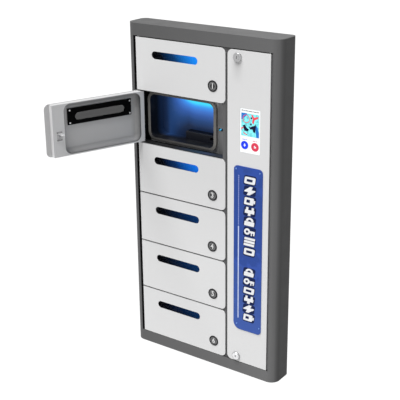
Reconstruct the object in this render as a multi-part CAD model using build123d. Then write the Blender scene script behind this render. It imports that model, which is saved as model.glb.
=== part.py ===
"""Wall-mounted charging locker for phones: six small doors and one tall service door.

Millimetres. +X to the right, +Z up, and +Y into the wall. The origin is the middle of the
flat back, between the four wall bolts. "Depth" is measured back from the casing's front face.
"""
import os

from build123d import *

os.makedirs("parts", exist_ok=True)

# Doors: the front plates, seen from the front
door_count = 6
door_w = 250.5
door_h = 124.4
door_gap = 2.6
door_corner_r = 12.0
door_plate_t = 1.5
door_depth = 15.0
service_w = 110.2
service_corner_r = 12.0
open_door = 2
open_angle = 111.2

# Gaps round the doors, and the casing's border outside them
hinge_side_gap = 7.0
mullion_gap = 6.0
service_side_gap = 4.0
top_gap = 2.5
bottom_gap = 1.6
bezel_side = 20.4
bezel_top = 29.0
bezel_bottom = 29.0

# Casing: folded and welded sheet, with a flat back plate
casing_depth = 70.0
casing_t = 1.5
casing_front_r = 23.0
casing_back_r = 14.0
back_plate_t = 1.5
back_flange = 24.0
back_plate_edge = 15.5

# Door frame: recessed sheet behind the small doors, and the mullion beside it
frame_t = 1.2
pocket_depth = 22.8
tray_hole_corner_r = 8.0
plate_seat = 0.6
liner_side_clear = 4.3
mullion_return_depth = 16.0
divider_t = 1.2

# Door liner: hollow pressing behind the plate, with a dished middle
liner_t = 1.2
liner_edge_inset = 1.0
liner_free_inset = 12.5
dish_hinge_margin = 11.0
dish_free_margin = 43.0
dish_top_margin = 3.5
dish_bottom_margin = 5.0
dish_corner_r = 15.0
dish_fillet_r = 10.5
dish_floor_t = 0.8

# Slot window in each door, with its margins on the plate
slot_hinge_margin = 46.2
slot_free_margin = 74.8
slot_h = 18.2
slot_down = 37.9
lens_margin = 5.5
lens_t = 1.6
lens_fit = 0.4
window_frame_hinge_margin = 30.2
window_frame_free_margin = 55.5
window_frame_top = 16.5
window_frame_bottom = 55.0
window_frame_t = 3.0
window_frame_lip = 0.8

# Hinges: pivot pins with a bearing collar under each door
pin_r = 1.5
pin_in = 4.5
pin_reach = 1.5
pin_fit = 0.06
pin_press = 0.02
collar_r = 2.6
collar_gap = 0.2

# Compartment trays
tray_hinge_margin = 25.5
tray_free_margin = 43.0
tray_top_margin = 8.0
tray_bottom_margin = 11.0
tray_corner_r = 14.0
tray_t = 1.2
tray_back_gap = 2.0
rim_w = 7.2
rim_top_w = 6.4
rim_gap = 0.8
rim_t = 1.6
tray_fit = 0.3

# Lamp and charging module in each tray
lamp_w = 84.0
lamp_d = 10.0
lamp_t = 3.0
lamp_right_margin = 0.5
lamp_back_margin = 3.0
charger_w = 100.0
charger_d = 19.0
charger_h = 20.0
charger_fit = 0.3
charger_chamfer = 2.0
port_w = 13.0
port_h = 6.0
port_d = 8.0
port_in = 24.0
port_up = 11.0

# Electric door lock: striker tongue on the door, bolt in the lock body
striker_in = 28.0
striker_below_middle = 5.0
striker_base_w = 13.0
striker_base_h = 22.0
striker_base_t = 1.2
striker_base_drop = 4.0
tongue_w = 8.0
tongue_t = 2.5
tongue_l = 19.0
eye_w = 5.0
eye_l = 5.5
eye_from_tip = 4.5
lock_slot_w = 11.5
lock_slot_h = 7.0
lock_w = 22.0
lock_h = 46.0
lock_d = 26.0
lock_slot_past = 2.5
bolt_r = 2.0
bolt_fit = 0.06
bolt_l = 16.0
bolt_rest_gap = 0.4
bolt_socket = 4.0
bolt_stroke = 10.5

# Service door: folded frame behind the plate, cam locks, display and sign
service_lip = 3.5
cam_lock_in = 26.2
cam_lock_down = 16.0
cam_lock_up = 13.5
lock_head_r = 10.5
lock_head_t = 4.0
lock_head_fillet = 1.4
lock_body_r = 8.0
lock_body_end = 15.6
lock_nut_r = 11.0
lock_nut_t = 3.5
plug_r = 6.0
plug_fit = 0.05
plug_proud = 0.4
key_slot_l = 7.0
key_slot_w = 1.6
key_slot_d = 2.0
cam_gap = 0.7
cam_t = 2.0
cam_w = 12.0
cam_l = 26.0
screen_in = 50.9
screen_down = 177.75
screen_w = 52.0
screen_h = 101.0
screen_corner_r = 2.0
screen_fit = 0.4
screen_back = 0.3
display_w = 62.0
display_h = 119.0
display_d = 11.8
sign_free_margin = 18.2
sign_hinge_margin = 15.4
sign_top_margin = 261.0
sign_bottom_margin = 88.5
sign_corner_r = 10.0
sign_low_corner_r = 18.0
sign_t = 1.0

# Service bay: power supply on the back plate, cable entry in the floor
supply_w = 72.0
supply_h = 150.0
supply_d = 32.0
supply_up = 95.0
supply_in = 53.6
supply_corner_r = 3.0
supply_flange = 9.0
supply_flange_t = 2.0
grommet_bore_r = 4.5
grommet_neck_r = 8.0
grommet_flange_r = 11.0
grommet_flange_t = 2.5
grommet_fit = 0.2
grommet_from_back = 36.0

# Wall bolts
wall_bolt_r = 3.5
wall_bolt_in_x = 36.0
wall_bolt_in_z = 80.0

# Worked out from the sizes above
pitch = door_h + door_gap
stack_h = door_count * pitch - door_gap
casing_w = (2 * bezel_side + hinge_side_gap + door_w + mullion_gap
            + service_w + service_side_gap)
casing_h = bezel_top + top_gap + stack_h + bottom_gap + bezel_bottom
front_y = -casing_depth
open_x0 = -casing_w / 2 + bezel_side
open_x1 = casing_w / 2 - bezel_side
open_z0 = -casing_h / 2 + bezel_bottom
open_z1 = casing_h / 2 - bezel_top
door_x0 = open_x0 + hinge_side_gap
door_x1 = door_x0 + door_w
stack_top = open_z1 - top_gap
stack_bottom = open_z0 + bottom_gap
service_x0 = door_x1 + mullion_gap
service_x1 = service_x0 + service_w
liner_x1 = door_x1 - liner_free_inset
dish_x = (door_x0 + dish_hinge_margin, door_x1 - dish_free_margin)
tray_x = (door_x0 + tray_hinge_margin, door_x1 - tray_free_margin)
striker_x = door_x1 - striker_in
striker_down = door_h / 2 + striker_below_middle
slot_w = door_w - slot_hinge_margin - slot_free_margin
slot_x = door_x0 + slot_hinge_margin + slot_w / 2
cam_lock_x = service_x0 + cam_lock_in
screen_x = service_x1 - screen_in
mullion_x0 = liner_x1 + liner_side_clear
service_liner_x0 = service_x0 + liner_free_inset
mullion_x1 = service_liner_x0 - liner_side_clear
frame_front = door_plate_t + plate_seat
panel_back = pocket_depth + frame_t
wrap_depth = casing_depth - back_plate_t
tray_back = wrap_depth - tray_back_gap
rim_front = door_depth + rim_gap
pin_y = front_y + pin_in
hinge_x = door_x0 + pin_in
service_hinge_x = service_x1 - pin_in
lock_front = panel_back
bay_x = open_x1 - supply_in
wall_bolt_x = casing_w / 2 - wall_bolt_in_x
wall_bolt_z = casing_h / 2 - wall_bolt_in_z
cam_lock_heights = (stack_top - cam_lock_down, stack_bottom + cam_lock_up)
numbers = range(1, door_count + 1)


def block(x, depth, z):
    """Box from its low and high limits across, back from the front face, and up."""
    return Pos((x[0] + x[1]) / 2, front_y + (depth[0] + depth[1]) / 2, (z[0] + z[1]) / 2) * Box(
        x[1] - x[0], depth[1] - depth[0], z[1] - z[0])


def about(middle, width):
    """Limits of a width about its middle."""
    return middle - width / 2, middle + width / 2


def wider(limits, margin):
    """Limits moved apart by a margin at each end."""
    return limits[0] - margin, limits[1] + margin


def front_outline(x, z, radius=0.0, side="all"):
    """Rectangle seen from the front, with the corners of one side or of all sides rounded."""
    outline = Rectangle(x[1] - x[0], z[1] - z[0])
    corners = {"all": outline.vertices(),
               "left": outline.vertices().group_by(Axis.X)[0],
               "right": outline.vertices().group_by(Axis.X)[-1]}[side]
    if radius > 0:
        outline = fillet(corners, radius)
    return Pos((x[0] + x[1]) / 2, (z[0] + z[1]) / 2) * outline


def from_front(outline, depth):
    """Extrude an outline drawn in X and Z between two depths."""
    plane = Plane(origin=(0, front_y + depth[1], 0), x_dir=(1, 0, 0), z_dir=(0, -1, 0))
    return extrude(plane * outline, depth[1] - depth[0])


def panel(x, z, depth, radius=0.0, side="all"):
    """Flat piece seen from the front."""
    return from_front(front_outline(x, z, radius, side), depth)


def upright(radius, x, depth, z):
    """Round bar along Z."""
    return Pos(x, front_y + depth, (z[0] + z[1]) / 2) * Cylinder(radius, z[1] - z[0])


def inward(radius, x, z, depth):
    """Round bar along Y."""
    return Pos(x, front_y + (depth[0] + depth[1]) / 2, z) * Rot(90, 0, 0) * Cylinder(
        radius, depth[1] - depth[0])


def door_top(number):
    """Height of the top edge of a door's front plate; door 1 is the highest."""
    return stack_top - (number - 1) * pitch


def join(pieces):
    """One node of several separate solids."""
    return Compound(children=[solid for piece in pieces for solid in piece.solids()])


# Casing

def casing():
    """Four folded panels welded together, with a return round the opening and a back flange."""
    plan = Rectangle(casing_w, wrap_depth)
    plan = fillet(plan.vertices().group_by(Axis.Y)[0], casing_front_r)
    plan = fillet(plan.vertices().group_by(Axis.Y)[-1], casing_back_r)
    plan = Pos(0, front_y + wrap_depth / 2) * plan
    outside = Pos(0, 0, -casing_h / 2) * extrude(plan, casing_h)
    inside_h = casing_h - 2 * casing_t
    inside = Pos(0, 0, -inside_h / 2) * extrude(offset(plan, -casing_t), inside_h)
    opening = block((open_x0, open_x1), (0, pocket_depth), (open_z0, open_z1))
    sleeve = block((open_x0 - casing_t, open_x1 + casing_t), (0, pocket_depth),
                   (open_z0 - casing_t, open_z1 + casing_t))
    half_w = casing_w / 2 - back_flange
    half_h = casing_h / 2 - back_flange
    back_opening = block((-half_w, half_w), (wrap_depth - casing_t, wrap_depth), (-half_h, half_h))
    shape = outside - inside - back_opening + sleeve - opening
    bore_r = pin_r + pin_press
    for x in (hinge_x, service_hinge_x):
        shape -= upright(bore_r, x, pin_in, (open_z1, open_z1 + casing_t))
        shape -= upright(bore_r, x, pin_in, (open_z0 - casing_t, open_z0))
    shape -= upright(grommet_neck_r + grommet_fit, bay_x, casing_depth - grommet_from_back,
                     (-casing_h / 2, -casing_h / 2 + casing_t))
    ends = [(-casing_h / 2, open_z0), (open_z1, casing_h / 2)]
    panels = [((-casing_w / 2, casing_w / 2), end) for end in ends]
    panels += [((-casing_w / 2, 0), (open_z0, open_z1)), ((0, casing_w / 2), (open_z0, open_z1))]
    return join([shape & block(x, (0, casing_depth), z) for x, z in panels])


def back_plate():
    """Flat sheet over the back flange, with the four wall bolt holes."""
    half_w = casing_w / 2 - back_plate_edge
    half_h = casing_h / 2 - back_plate_edge
    depth = (wrap_depth, casing_depth)
    shape = panel((-half_w, half_w), (-half_h, half_h), depth)
    for x in (-wall_bolt_x, wall_bolt_x):
        for z in (-wall_bolt_z, wall_bolt_z):
            shape -= inward(wall_bolt_r, x, z, depth)
    return shape


# Door frame and dividers

def door_frame():
    """Recessed sheet with a hole for each tray and a slot for each lock."""
    sheet = block((open_x0 - casing_t, mullion_x0), (pocket_depth, panel_back),
                  (open_z0 - casing_t, open_z1 + casing_t))
    grow = tray_t + tray_fit
    for number in numbers:
        sheet -= panel(wider(tray_x, grow), wider(tray_heights(number), grow),
                       (pocket_depth, panel_back), tray_hole_corner_r)
        sheet -= block(about(striker_x, lock_slot_w), (pocket_depth, panel_back),
                       about(door_top(number) - striker_down, lock_slot_h))
    return sheet


def mullion():
    """Folded post between the two door openings; its left wall reaches the back plate."""
    z = (open_z0, open_z1)
    post = block((mullion_x0, mullion_x0 + frame_t), (frame_front, wrap_depth), z)
    post += block((mullion_x0, mullion_x1), (frame_front, frame_front + frame_t), z)
    return post + block((mullion_x1 - frame_t, mullion_x1), (frame_front, mullion_return_depth), z)


def divider_middle(number):
    """Height of the divider under a door."""
    return door_top(number) - door_h - door_gap / 2


def dividers():
    """Sheet ledges between the doors, from the casing's return to the mullion."""
    ledges = []
    for number in range(1, door_count):
        middle = divider_middle(number)
        z = (middle - divider_t / 2, middle + divider_t / 2)
        ledge = block((open_x0, mullion_x0), (frame_front, pocket_depth), z)
        ledges.append(ledge - upright(pin_r + pin_press, hinge_x, pin_in, z))
    return join(ledges)


def hinge_pins():
    """Pivot pins in the dividers and in the casing's return, with a collar below each door."""
    inside_liner = liner_edge_inset + liner_t + pin_reach
    pins = []
    for number in range(1, door_count):
        middle = divider_middle(number)
        reach = door_gap / 2 + inside_liner
        collar = (middle + divider_t / 2, middle + door_gap / 2 + liner_edge_inset - collar_gap)
        pins.append(upright(pin_r, hinge_x, pin_in, (middle - reach, middle + reach))
                    + upright(collar_r, hinge_x, pin_in, collar))
    for x in (hinge_x, service_hinge_x):
        head = (open_z1 + casing_t, open_z1 + 2 * casing_t)
        pins.append(upright(pin_r, x, pin_in, (stack_top - inside_liner, head[1]))
                    + upright(collar_r, x, pin_in, head))
        collar = (open_z0, stack_bottom + liner_edge_inset - collar_gap)
        pins.append(upright(pin_r, x, pin_in, (open_z0 - casing_t, stack_bottom + inside_liner))
                    + upright(collar_r, x, pin_in, collar))
    return join(pins)


# Compartments

def tray_heights(number):
    """Limits of a tray's inside, from floor to ceiling."""
    top = door_top(number)
    return top - door_h + tray_bottom_margin, top - tray_top_margin


def tray(number):
    """Moulded tray with a raised rim that stands on the recessed sheet."""
    z = tray_heights(number)
    rim_x = wider(tray_x, rim_w)
    rim_z = (z[0] - rim_w, z[1] + rim_top_w)
    skirt = panel(rim_x, rim_z, (rim_front, pocket_depth), tray_corner_r + rim_w)
    skirt -= panel(wider(rim_x, -rim_t), wider(rim_z, -rim_t),
                   (rim_front + rim_t, pocket_depth), tray_corner_r + rim_w - rim_t)
    walls = panel(wider(tray_x, tray_t), wider(z, tray_t), (rim_front, tray_back),
                  tray_corner_r + tray_t)
    return skirt + walls - panel(tray_x, z, (rim_front, tray_back - tray_t), tray_corner_r)


def lamp(number):
    """Light bar under the tray's ceiling, at the back on the right."""
    ceiling = tray_heights(number)[1]
    x1 = tray_x[1] - tray_corner_r - lamp_right_margin
    back = tray_back - tray_t - lamp_back_margin
    return block((x1 - lamp_w, x1), (back - lamp_d, back), (ceiling - lamp_t, ceiling))


def charger(number):
    """Charging module on the tray's floor against its back wall, with a port in front."""
    floor = tray_heights(number)[0]
    x1 = tray_x[1] - charger_fit
    outline = Rectangle(charger_w, charger_h)
    outer_corner = outline.vertices().group_by(Axis.X)[-1].sort_by(Axis.Y)[0]
    outline = fillet(outer_corner, tray_corner_r + charger_fit)
    back = tray_back - tray_t
    front = back - charger_d
    shape = from_front(Pos(x1 - charger_w / 2, floor + charger_h / 2) * outline, (front, back))
    top_edge = shape.edges().filter_by(Axis.X).group_by(Axis.Z)[-1].sort_by(Axis.Y)[0]
    shape = chamfer(top_edge, charger_chamfer)
    x, z = x1 - port_in, floor + port_up
    return shape - block(about(x, port_w), (front, front + port_d), about(z, port_h))


# Electric locks

def eye_depth():
    """Depth of the striker's eye, and of the bolt that enters it."""
    return door_depth + tongue_l - eye_from_tip


def lock_body(number):
    """Lock housing behind the recessed sheet, with a slot for the tongue and a bolt bore."""
    z = door_top(number) - striker_down
    shape = block(about(striker_x, lock_w), (lock_front, lock_front + lock_d), about(z, lock_h))
    slot_end = door_depth + tongue_l + lock_slot_past
    shape -= block(about(striker_x, lock_slot_w), (lock_front, slot_end), about(z, lock_slot_h))
    bore_z = (z - lock_h / 2, z + lock_slot_h / 2 + bolt_socket)
    return shape - upright(bolt_r + bolt_fit, striker_x, eye_depth(), bore_z)


def latch_bolt(number):
    """Bolt below the slot; it rises through the striker's eye to lock."""
    top = door_top(number) - striker_down - lock_slot_h / 2 - bolt_rest_gap
    return upright(bolt_r, striker_x, eye_depth(), (top - bolt_l, top))


# Small doors, built closed

def slot_outline(top, grow):
    """Stadium-shaped window, grown by a margin."""
    return Pos(slot_x, top - slot_down) * SlotOverall(slot_w + 2 * grow, slot_h + 2 * grow)


def lens_limits(top, grow):
    """Limits of the lens blank behind the slot, grown by a clearance."""
    margin = 2 * (lens_margin + grow)
    return about(slot_x, slot_w + margin), about(top - slot_down, slot_h + margin)


def door_plate(top):
    """Front plate with rounded free corners and the window slot."""
    depth = (0, door_plate_t)
    shape = panel((door_x0, door_x1), (top - door_h, top), depth, door_corner_r, "right")
    return shape - from_front(slot_outline(top, 0), depth)


def dish_heights(top):
    """Limits of the dish, from bottom to top."""
    return top - door_h + dish_bottom_margin, top - dish_top_margin


def dish(top):
    """Dished middle of the liner: a rounded pocket with a swept floor edge."""
    shape = panel(dish_x, dish_heights(top), (door_plate_t + dish_floor_t, door_depth),
                  dish_corner_r)
    floor_edges = shape.edges().group_by(Axis.Y)[0]
    return fillet(floor_edges, dish_fillet_r)


def door_liner(top):
    """Hollow pressing: outer walls, flat border, and a dish whose floor lies on the plate."""
    x = (door_x0, liner_x1)
    z = (top - door_h + liner_edge_inset, top - liner_edge_inset)
    shape = block(x, (door_plate_t, door_depth), z)
    hollow = block((x[0] + liner_t, x[1] - liner_t), (door_plate_t, door_depth - liner_t),
                   (z[0] + liner_t, z[1] - liner_t))
    hollow -= panel(wider(dish_x, dish_floor_t), wider(dish_heights(top), dish_floor_t),
                    (door_plate_t, door_depth), dish_corner_r + dish_floor_t)
    shape -= hollow
    shape -= dish(top)
    lens_x, lens_z = lens_limits(top, lens_fit)
    shape -= panel(lens_x, lens_z, (door_plate_t, door_plate_t + dish_floor_t))
    shape -= upright(pin_r + pin_fit, hinge_x, pin_in, z)
    return shape


def window_lens(top):
    """Smoked blank between the plate and the window frame."""
    x, z = lens_limits(top, 0)
    return panel(x, z, (door_plate_t, door_plate_t + lens_t))


def window_frame(top):
    """Black plate on the dish's floor that clamps the lens."""
    front = door_plate_t + dish_floor_t
    depth = (front, front + window_frame_t)
    shape = panel((door_x0 + window_frame_hinge_margin, door_x1 - window_frame_free_margin),
                  (top - window_frame_bottom, top - window_frame_top), depth)
    lens_x, lens_z = lens_limits(top, lens_fit)
    shape -= panel(lens_x, lens_z, (front, door_plate_t + lens_t))
    return shape - from_front(slot_outline(top, window_frame_lip), depth)


def striker(top):
    """Steel tongue with an eye for the lock's bolt, on a plate on the liner's border."""
    z = top - striker_down
    base_front = door_depth + striker_base_t
    base = block(about(striker_x, striker_base_w), (door_depth, base_front),
                 (z - striker_base_h + striker_base_drop, z + striker_base_drop))
    tongue_z = about(z, tongue_t)
    tongue = block(about(striker_x, tongue_w), (base_front, door_depth + tongue_l), tongue_z)
    tongue -= block(about(striker_x, eye_w), about(eye_depth(), eye_l), tongue_z)
    return join([base, tongue])


door_pieces = {"plate": door_plate, "liner": door_liner, "window_lens": window_lens,
               "window_frame": window_frame, "striker": striker}


# Service door

def service_plate():
    """Tall front plate with holes for the display and the two cam locks."""
    depth = (0, door_plate_t)
    shape = panel((service_x0, service_x1), (stack_bottom, stack_top), depth,
                  service_corner_r, "left")
    screen_x_limits, screen_z_limits = screen_limits(screen_fit)
    shape -= panel(screen_x_limits, screen_z_limits, depth, screen_corner_r + screen_fit)
    for z in cam_lock_heights:
        shape -= inward(lock_body_r + screen_fit, cam_lock_x, z, depth)
    return shape


def service_liner():
    """Folded frame behind the plate, with a narrow inward lip."""
    x = (service_liner_x0, service_x1)
    z = (stack_bottom + liner_edge_inset, stack_top - liner_edge_inset)
    shape = block(x, (door_plate_t, door_depth), z)
    shape -= block((x[0] + liner_t, x[1] - liner_t), (door_plate_t, door_depth - liner_t),
                   (z[0] + liner_t, z[1] - liner_t))
    shape -= block((x[0] + service_lip, x[1] - service_lip), (door_plate_t, door_depth),
                   (z[0] + service_lip, z[1] - service_lip))
    return shape - upright(pin_r + pin_fit, service_hinge_x, pin_in, z)


def screen_limits(grow):
    """Limits of the display's glass, grown by a clearance."""
    return (about(screen_x, screen_w + 2 * grow),
            about(stack_top - screen_down, screen_h + 2 * grow))


def display():
    """Display with its driver housing behind the plate and its glass in the plate's window."""
    glass_x, glass_z = screen_limits(0)
    glass = panel(glass_x, glass_z, (screen_back, door_plate_t), screen_corner_r)
    return glass + block(about(screen_x, display_w), (door_plate_t, door_plate_t + display_d),
                         about(stack_top - screen_down, display_h))


def sign_plate():
    """Long plate on the service door's face; its lower corner at the free side is larger."""
    x = (service_x0 + sign_free_margin, service_x1 - sign_hinge_margin)
    z = (stack_bottom + sign_bottom_margin, stack_top - sign_top_margin)
    outline = front_outline(x, z)
    corners = outline.vertices().sort_by_distance((x[0], z[0], 0))
    outline = fillet(corners[1:], sign_corner_r)
    corners = outline.vertices().sort_by_distance((x[0], z[0], 0))
    outline = fillet(corners[:1], sign_low_corner_r)
    return from_front(outline, (-sign_t, 0))


def lock_barrel(z):
    """Cam lock barrel: round head in front, body through the plate, hexagon nut behind."""
    head = inward(lock_head_r, cam_lock_x, z, (-lock_head_t, 0))
    head = fillet(head.edges().group_by(Axis.Y)[0], lock_head_fillet)
    nut = from_front(Pos(cam_lock_x, z) * RegularPolygon(lock_nut_r, 6),
                     (door_plate_t, door_plate_t + lock_nut_t))
    shape = head + nut + inward(lock_body_r, cam_lock_x, z, (0, lock_body_end))
    return shape - inward(plug_r + plug_fit, cam_lock_x, z, (-lock_head_t, lock_body_end))


def lock_cam(z, direction):
    """Key plug and cam in one; direction is -1 for a cam that hangs down, +1 for one up."""
    front = -lock_head_t - plug_proud
    cam_front = lock_body_end + cam_gap
    plug = inward(plug_r, cam_lock_x, z, (front, cam_front + cam_t))
    key_slot = block(about(cam_lock_x, key_slot_w), (front, front + key_slot_d),
                     about(z, key_slot_l))
    reach = cam_l - cam_w
    cam = Pos(cam_lock_x, z + direction * reach / 2) * Rot(0, 0, 90) * SlotCenterToCenter(
        reach, cam_w)
    return plug - key_slot + from_front(cam, (cam_front, cam_front + cam_t))


# Service bay

def power_supply():
    """Power supply on the back plate, with fixing flanges above and below."""
    x = about(bay_x, supply_w)
    z = (open_z0 + supply_up, open_z0 + supply_up + supply_h)
    case = panel(x, z, (wrap_depth - supply_d, wrap_depth), supply_corner_r)
    return case + panel(x, wider(z, supply_flange), (wrap_depth - supply_flange_t, wrap_depth),
                        supply_corner_r)


def cable_grommet():
    """Rubber grommet in the casing's floor; the supply cable passes through its bore."""
    floor = -casing_h / 2
    depth = casing_depth - grommet_from_back
    shape = upright(grommet_neck_r, bay_x, depth, (floor, floor + casing_t))
    shape += upright(grommet_flange_r, bay_x, depth, (floor - grommet_flange_t, floor))
    shape += upright(grommet_flange_r, bay_x, depth,
                     (floor + casing_t, floor + casing_t + grommet_flange_t))
    return shape - upright(grommet_bore_r, bay_x, depth,
                           (floor - grommet_flange_t, floor + casing_t + grommet_flange_t))


nodes = {
    "casing": casing(),
    "back_plate": back_plate(),
    "door_frame": door_frame(),
    "mullion": mullion(),
    "dividers": dividers(),
    "hinge_pins": hinge_pins(),
    "compartment_lamps": join([lamp(number) for number in numbers]),
    "charging_modules": join([charger(number) for number in numbers]),
    "lock_bodies": join([lock_body(number) for number in numbers]),
    "power_supply": power_supply(),
    "cable_grommet": cable_grommet(),
    "service_door_plate": service_plate(),
    "service_door_liner": service_liner(),
    "display": display(),
    "sign_plate": sign_plate(),
    "lock_barrels": join([lock_barrel(z) for z in cam_lock_heights]),
    "upper_lock_cam": lock_cam(cam_lock_heights[0], -1),
    "lower_lock_cam": lock_cam(cam_lock_heights[1], 1),
}

hinge_axis = Axis((hinge_x, pin_y, 0), (0, 0, 1))
for piece, build in door_pieces.items():
    closed = build(0)
    for number in numbers:
        shape = Pos(0, 0, door_top(number)) * closed
        if number == open_door:
            shape = shape.rotate(hinge_axis, -open_angle)
        nodes[f"door_{number}_{piece}"] = shape

for number in numbers:
    nodes[f"compartment_tray_{number}"] = tray(number)
    nodes[f"latch_bolt_{number}"] = latch_bolt(number)

for name, shape in nodes.items():
    export_step(shape, f"parts/{name}.step")
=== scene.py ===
"""Looks for the wall-mounted phone charging locker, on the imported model. Metres."""
import math

import bmesh
import bpy
from mathutils import Matrix, Vector


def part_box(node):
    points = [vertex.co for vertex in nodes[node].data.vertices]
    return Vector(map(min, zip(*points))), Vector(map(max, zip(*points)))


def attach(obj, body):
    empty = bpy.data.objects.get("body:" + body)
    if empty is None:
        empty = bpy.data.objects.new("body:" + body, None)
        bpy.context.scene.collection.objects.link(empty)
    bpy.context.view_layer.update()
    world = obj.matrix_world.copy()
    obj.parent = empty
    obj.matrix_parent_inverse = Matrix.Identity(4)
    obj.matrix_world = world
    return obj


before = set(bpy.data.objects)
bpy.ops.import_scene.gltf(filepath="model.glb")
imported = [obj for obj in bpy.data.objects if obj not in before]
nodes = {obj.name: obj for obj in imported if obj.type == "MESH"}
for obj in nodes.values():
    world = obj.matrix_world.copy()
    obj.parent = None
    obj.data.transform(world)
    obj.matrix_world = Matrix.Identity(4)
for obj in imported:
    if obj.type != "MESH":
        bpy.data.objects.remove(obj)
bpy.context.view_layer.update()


# Room: a pale floor far below the locker, an even pale sky, and one very wide lamp above and
# in front, so that every shadow is soft. The sky is plain white wherever it is seen directly.

class Amount:
    """A number that varies over a surface; arithmetic on it adds nodes to its material."""

    def __init__(self, made, socket):
        self.made = made
        self.socket = socket

    def __add__(self, other):
        return worked(self.made, "ADD", self, other)

    def __sub__(self, other):
        return worked(self.made, "SUBTRACT", self, other)

    def __rsub__(self, other):
        return worked(self.made, "SUBTRACT", other, self)

    def __mul__(self, other):
        return worked(self.made, "MULTIPLY", self, other)

    def __gt__(self, other):
        return worked(self.made, "GREATER_THAN", self, other)

    def __lt__(self, other):
        return worked(self.made, "LESS_THAN", self, other)

    def __abs__(self):
        return worked(self.made, "ABSOLUTE", self)

    __radd__ = __add__
    __rmul__ = __mul__

    def between(self, low, high, start=0.0, end=1.0):
        """The range from start to end spread to the range from low to high, and held there."""
        spread = node(self.made, "ShaderNodeMapRange", {"Value": self, "To Min": low,
                                                        "To Max": high, "From Min": start,
                                                        "From Max": end})
        return Amount(self.made, spread.outputs["Result"])

    def share(self, start, end):
        """How far it is from start to end, from 0 to 1."""
        return self.between(0, 1, start, end)


def give(made, socket, value):
    """Set a socket to a value, or link an amount or an output to it."""
    value = value.socket if isinstance(value, Amount) else value
    if isinstance(value, bpy.types.NodeSocket):
        made.node_tree.links.new(value, socket)
    else:
        socket.default_value = value


def node(made, kind, inputs=None, **settings):
    """Add a node with these inputs to a material or world."""
    added = made.node_tree.nodes.new(kind)
    for name, value in settings.items():
        setattr(added, name, value)
    for name, value in (inputs or {}).items():
        give(made, added.inputs[name], value)
    return added


def worked(made, operation, *values):
    """Result of one step of arithmetic."""
    added = node(made, "ShaderNodeMath", dict(enumerate(values)), operation=operation)
    return Amount(made, added.outputs[0])


def material(name, **sockets):
    """A new material with these values on its shader."""
    made = bpy.data.materials.new(name)
    made.use_nodes = True
    for socket, value in sockets.items():
        feed(made, socket.replace("_", " "), value)
    return made


def feed(made, socket, value):
    """Give a value, an amount or an output to one socket of the material's shader."""
    give(made, made.node_tree.nodes["Principled BSDF"].inputs[socket], value)


def place_of(made, stretch=(1, 1, 1)):
    """The piece's own coordinates in metres, stretched if asked."""
    own = node(made, "ShaderNodeTexCoord").outputs["Object"]
    return node(made, "ShaderNodeMapping", {"Vector": own, "Scale": stretch}).outputs["Vector"]


def noise(made, place, scale, detail):
    """A noise with this many grains to the metre."""
    added = node(made, "ShaderNodeTexNoise", {"Vector": place, "Scale": scale, "Detail": detail})
    return Amount(made, added.outputs["Fac"])


def ramp(amount, stops):
    """Colours along an amount, from (position, colour) pairs, the two ends first."""
    added = node(amount.made, "ShaderNodeValToRGB", {"Fac": amount})
    marks = added.color_ramp.elements
    for mark, (position, colour) in zip(marks, stops):
        mark.position = position
        mark.color = (*colour, 1)
    for position, colour in stops[2:]:
        marks.new(position).color = (*colour, 1)
    return added.outputs["Color"]


def tone(colour, factor):
    """A colour made lighter or darker."""
    return tuple(min(1.0, channel * factor) for channel in colour)


def bumps(made, amount, height):
    """Small relief, in metres from its lowest to its highest."""
    relief = node(made, "ShaderNodeBump", {"Height": amount, "Distance": height, "Strength": 1.0})
    feed(made, "Normal", relief.outputs["Normal"])


def surface(name, colour, roughness, spread=0.04, cloud=9, grain=900, depth=0.00003,
            stretch=(1, 1, 1), uneven=0.06, **sockets):
    """Even finish: faint clouds in its colour, fine grain, and gloss that varies a little.
    Without a colour, the piece's own section gives one."""
    made = material(name, **sockets)
    place = place_of(made, stretch)
    if colour:
        feed(made, "Base Color", ramp(noise(made, place, cloud, 4),
                                      [(0.3, tone(colour, 1 - spread)),
                                       (0.7, tone(colour, 1 + spread))]))
    feed(made, "Roughness", noise(made, place, cloud * 5, 3).between(
        roughness - uneven, roughness + uneven, 0.3, 0.7))
    bumps(made, noise(made, place, grain, 2), depth)
    return made


sky = bpy.data.worlds.new("sky")
bpy.context.scene.world = sky
sky.use_nodes = True
sky.node_tree.nodes.clear()
ray = node(sky, "ShaderNodeLightPath").outputs
seen = worked(sky, "ADD", ray["Is Camera Ray"], ray["Is Glossy Ray"])
seen = node(sky, "ShaderNodeMath", {0: seen, 1: ray["Is Transmission Ray"]},
            operation="ADD", use_clamp=True).outputs[0]
ambient = node(sky, "ShaderNodeBackground", {"Color": (1, 1, 1, 1), "Strength": 0.2})
white = node(sky, "ShaderNodeBackground", {"Color": (1, 1, 1, 1), "Strength": 1.0})
either = node(sky, "ShaderNodeMixShader", {0: seen, 1: ambient.outputs[0], 2: white.outputs[0]})
node(sky, "ShaderNodeOutputWorld", {"Surface": either.outputs[0]})

lamp = bpy.data.objects.new("wide_lamp", bpy.data.lights.new("wide_lamp", "SUN"))
lamp.data.energy = 5.4
lamp.data.angle = math.radians(40)
lamp.rotation_mode = "QUATERNION"
lamp.rotation_quaternion = Vector((-0.12, -0.34, 0.93)).to_track_quat("Z", "Y")
bpy.context.scene.collection.objects.link(lamp)

camera = bpy.data.objects.new("camera", bpy.data.cameras.new("camera"))
camera.data.lens = 86.29
camera.data.sensor_width = 36
camera.matrix_world = Matrix((
    (0.81456007, -0.19481471, 0.54638734, 1.22445),
    (0.58000911, 0.28817405, -0.76193513, -1.7813),
    (-0.00901848, 0.93755157, 0.34772938, 0.7941),
    (0, 0, 0, 1)))
bpy.context.scene.collection.objects.link(camera)
bpy.context.scene.camera = camera
bpy.context.scene.view_settings.view_transform = "Standard"


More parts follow.
